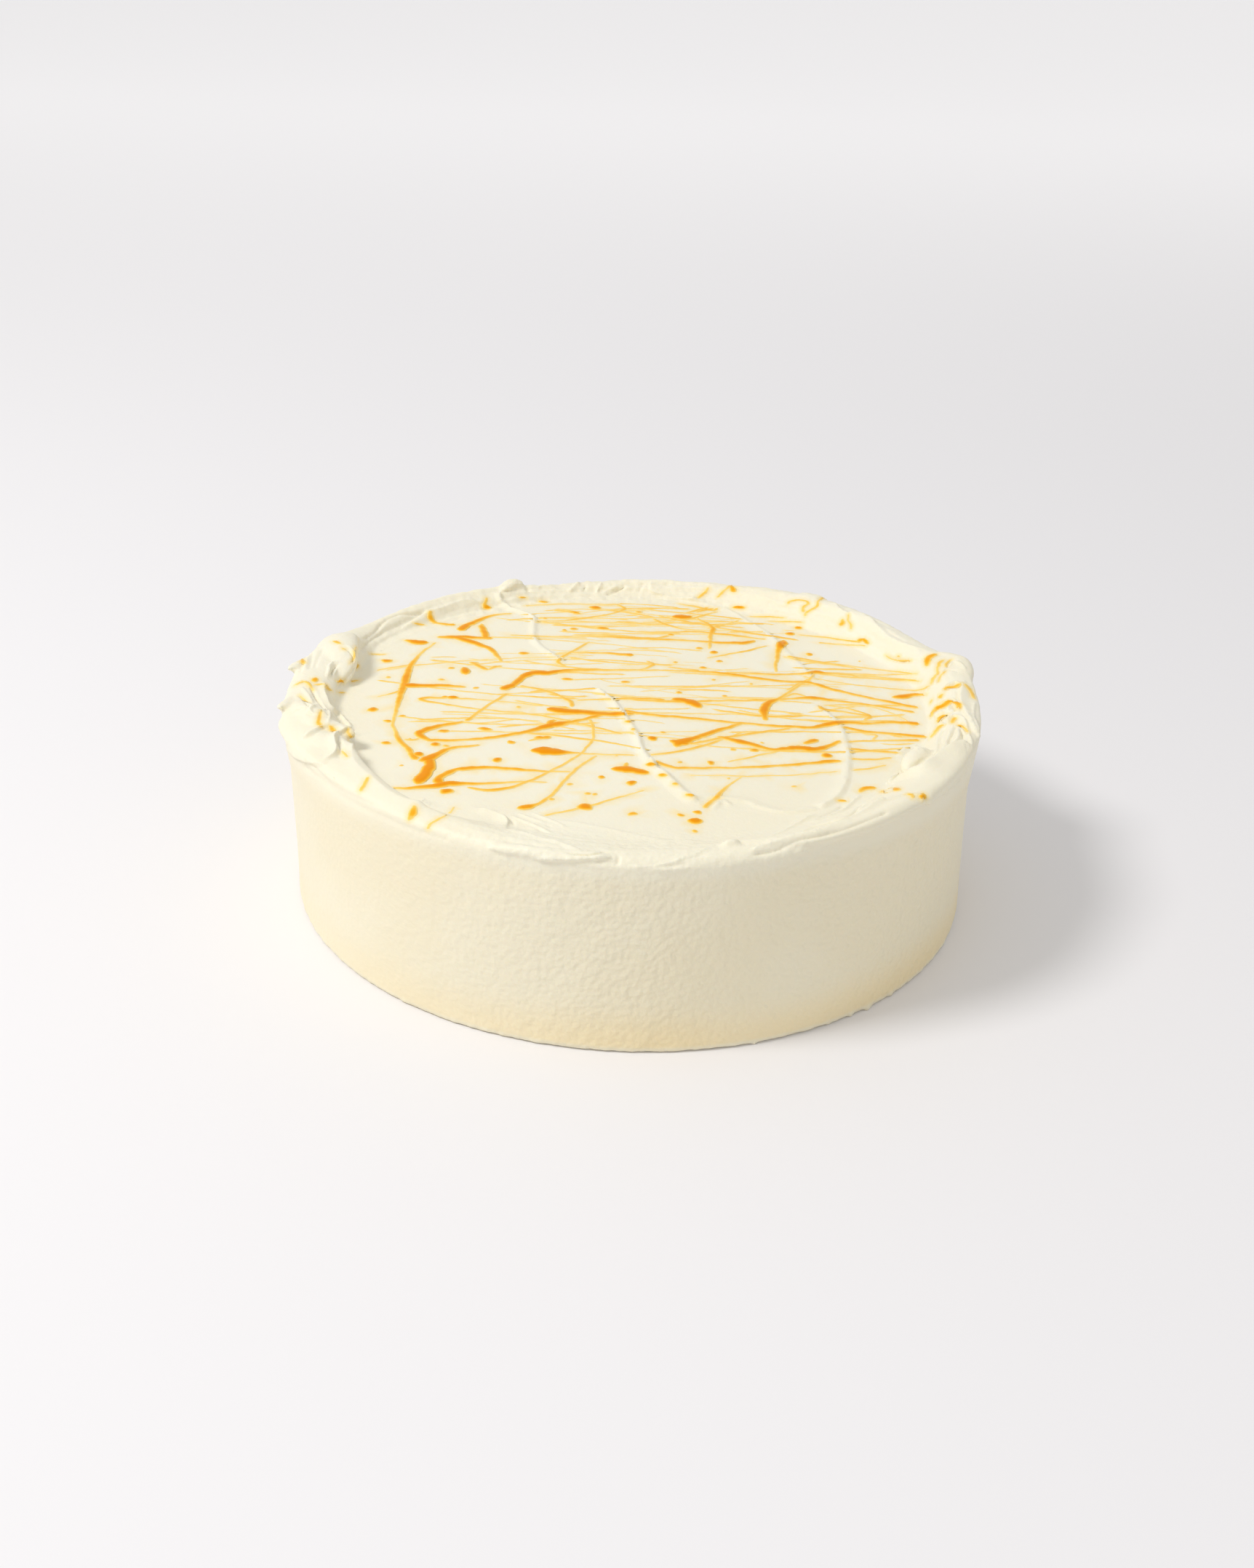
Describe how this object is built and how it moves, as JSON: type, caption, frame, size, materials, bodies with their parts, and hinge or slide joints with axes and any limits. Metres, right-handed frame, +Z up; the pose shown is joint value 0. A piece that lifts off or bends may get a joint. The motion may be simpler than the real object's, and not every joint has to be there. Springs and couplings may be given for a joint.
{
  "type": "whole cheesecake",
  "caption": "Round whole cheesecake coated in whipped cream, with a swiped, ruffled rim and amber citrus sauce drizzled over its flat top.",
  "frame": {"origin": "middle of the flat base, on the surface the cake stands on", "axes": "+Z up along the drum's axis; -Y is the front, where the rim is lowest, and +X is to its right"},
  "size_m": [0.2722, 0.263, 0.0842],
  "materials": {
    "cream": "soft matte whipped cream",
    "yuzu_sauce": "glossy translucent amber sauce"
  },
  "bodies": {
    "root": {"cake": "cream"}
  },
  "joints": []
}
